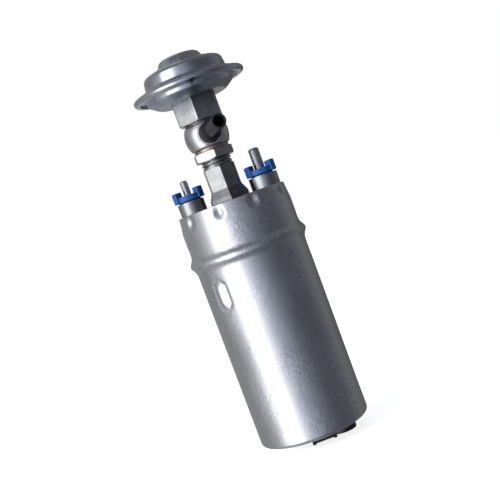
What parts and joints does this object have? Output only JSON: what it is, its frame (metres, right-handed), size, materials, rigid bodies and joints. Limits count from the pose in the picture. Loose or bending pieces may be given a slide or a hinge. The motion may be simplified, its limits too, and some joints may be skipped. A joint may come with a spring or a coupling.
{
  "type": "electric fuel pump",
  "caption": "Electric roller-cell fuel pump in a crimped steel can, with stud terminals, a check valve in its hexagonal outlet fitting, a banjo nipple and a pulsation damper.",
  "frame": {"origin": "centre of the can's flat base ring, on the pump's axis", "axes": "+Z along the pump's axis from the inlet to the damper, -Y towards the banjo nipple, +X towards the thicker stud"},
  "size_m": [0.0558, 0.0708, 0.1859],
  "materials": {
    "can_steel": "satin deep-drawn steel",
    "inlet_plastic": "moulded glass-filled plastic",
    "seal_rubber": "matte",
    "mesh_steel": "woven wire",
    "pump_steel": "ground",
    "ball_steel": "polished",
    "spring_steel": "drawn wire",
    "brass": "turned",
    "bush_bronze": "sintered",
    "core_iron": "laminated",
    "core_insulation": "moulded",
    "winding_copper": "enamelled wire",
    "commutator_plastic": "phenolic",
    "commutator_copper": "turned",
    "ferrite": "sintered",
    "carrier_plastic": "moulded",
    "carbon": "pressed carbon",
    "stud_steel": "zinc-plated thread",
    "insulator_blue": "moulded",
    "end_cap_metal": "die-cast, machined",
    "fitting_steel": "turned and plated",
    "washer_copper": "annealed copper",
    "banjo_steel": "plated steel",
    "nut_steel": "bright plated",
    "nipple_steel": "dark phosphated",
    "damper_zinc": "zinc-plated pressed steel"
  },
  "bodies": {
    "housing": {"can": "can_steel", "inlet_cover": "inlet_plastic", "inlet_seal": "seal_rubber", "inlet_screen": "mesh_steel", "inlet_plate": "pump_steel", "cam_ring": "pump_steel", "outlet_plate": "pump_steel", "plate_screws": "stud_steel", "relief_spring": "spring_steel", "relief_plug": "brass", "lower_bush": "bush_bronze", "upper_bush": "bush_bronze", "flux_ring": "pump_steel", "magnet_front": "ferrite", "magnet_rear": "ferrite", "magnet_clips": "spring_steel", "brush_carrier": "carrier_plastic", "brush_spring_left": "spring_steel", "brush_spring_right": "spring_steel", "brush_lead_left": "winding_copper", "brush_lead_right": "winding_copper", "terminal_strips": "brass", "stud_left": "stud_steel", "stud_right": "stud_steel", "stud_sleeves": "core_insulation", "insulator_left": "insulator_blue", "insulator_right": "insulator_blue", "end_cap": "end_cap_metal", "end_cap_seal": "seal_rubber", "outlet_fitting": "fitting_steel", "check_spring": "spring_steel", "check_retainer": "brass", "lock_nut": "nut_steel", "sealing_washers": "washer_copper", "banjo_eye": "banjo_steel", "outlet_nipple": "nipple_steel", "damper_neck": "fitting_steel", "damper_lower_shell": "damper_zinc", "damper_upper_shell": "damper_zinc", "diaphragm": "seal_rubber", "damper_spring": "spring_steel"},
    "armature": {"armature_shaft": "ball_steel", "armature_core": "core_iron", "armature_insulators": "core_insulation", "armature_windings": "winding_copper", "commutator_hub": "commutator_plastic", "commutator_bars": "commutator_copper", "thrust_washers": "commutator_plastic", "pump_rotor": "pump_steel"},
    "roller_1": {"roller_1": "ball_steel"},
    "roller_2": {"roller_2": "ball_steel"},
    "roller_3": {"roller_3": "ball_steel"},
    "roller_4": {"roller_4": "ball_steel"},
    "roller_5": {"roller_5": "ball_steel"},
    "brush_left": {"brush_left": "carbon"},
    "brush_right": {"brush_right": "carbon"},
    "check_ball": {"check_ball": "ball_steel"},
    "relief_ball": {"relief_ball": "ball_steel"},
    "diaphragm_plates": {"diaphragm_plates": "pump_steel"}
  },
  "joints": [
    {"name": "armature_spin", "type": "hinge", "parent": "housing", "child": "armature", "pos_m": [0, 0, 0.05], "axis": [0, 0, 1], "continuous": true},
    {"name": "roller_1_spin", "type": "hinge", "parent": "armature", "child": "roller_1", "pos_m": [0, 0.01185, 0.0195], "axis": [0, 0, 1], "continuous": true},
    {"name": "roller_2_spin", "type": "hinge", "parent": "armature", "child": "roller_2", "pos_m": [-0.01127, 0.00366, 0.0195], "axis": [0, 0, 1], "continuous": true},
    {"name": "roller_3_spin", "type": "hinge", "parent": "armature", "child": "roller_3", "pos_m": [-0.00697, -0.00959, 0.0195], "axis": [0, 0, 1], "continuous": true},
    {"name": "roller_4_spin", "type": "hinge", "parent": "armature", "child": "roller_4", "pos_m": [0.00697, -0.00959, 0.0195], "axis": [0, 0, 1], "continuous": true},
    {"name": "roller_5_spin", "type": "hinge", "parent": "armature", "child": "roller_5", "pos_m": [0.01127, 0.00366, 0.0195], "axis": [0, 0, 1], "continuous": true},
    {"name": "brush_left_slide", "type": "slide", "parent": "housing", "child": "brush_left", "axis": [0, 0, 1], "range_m": [0, 0.002], "stiffness_N_per_m": 200, "springref_m": -0.004, "deforming": ["brush_spring_left", "brush_lead_left"]},
    {"name": "brush_right_slide", "type": "slide", "parent": "housing", "child": "brush_right", "axis": [0, 0, 1], "range_m": [0, 0.002], "stiffness_N_per_m": 200, "springref_m": -0.004, "deforming": ["brush_spring_right", "brush_lead_right"]},
    {"name": "check_valve_lift", "type": "slide", "parent": "housing", "child": "check_ball", "axis": [0, 0, 1], "range_m": [0, 0.002], "stiffness_N_per_m": 300, "springref_m": -0.002, "deforming": ["check_spring"]},
    {"name": "relief_valve_lift", "type": "slide", "parent": "housing", "child": "relief_ball", "axis": [0, 0, -1], "range_m": [0, 0.0015], "stiffness_N_per_m": 2000, "springref_m": -0.002, "deforming": ["relief_spring"]},
    {"name": "diaphragm_travel", "type": "slide", "parent": "housing", "child": "diaphragm_plates", "axis": [0, 0, 1], "range_m": [-0.0005, 0.002], "stiffness_N_per_m": 4000, "deforming": ["diaphragm", "damper_spring"]}
  ],
  "couplings": [
    {"joint": "roller_1_spin", "follows": "armature_spin", "ratio": -5.1094},
    {"joint": "roller_2_spin", "follows": "armature_spin", "ratio": -5.1094},
    {"joint": "roller_3_spin", "follows": "armature_spin", "ratio": -5.1094},
    {"joint": "roller_4_spin", "follows": "armature_spin", "ratio": -5.1094},
    {"joint": "roller_5_spin", "follows": "armature_spin", "ratio": -5.1094}
  ]
}
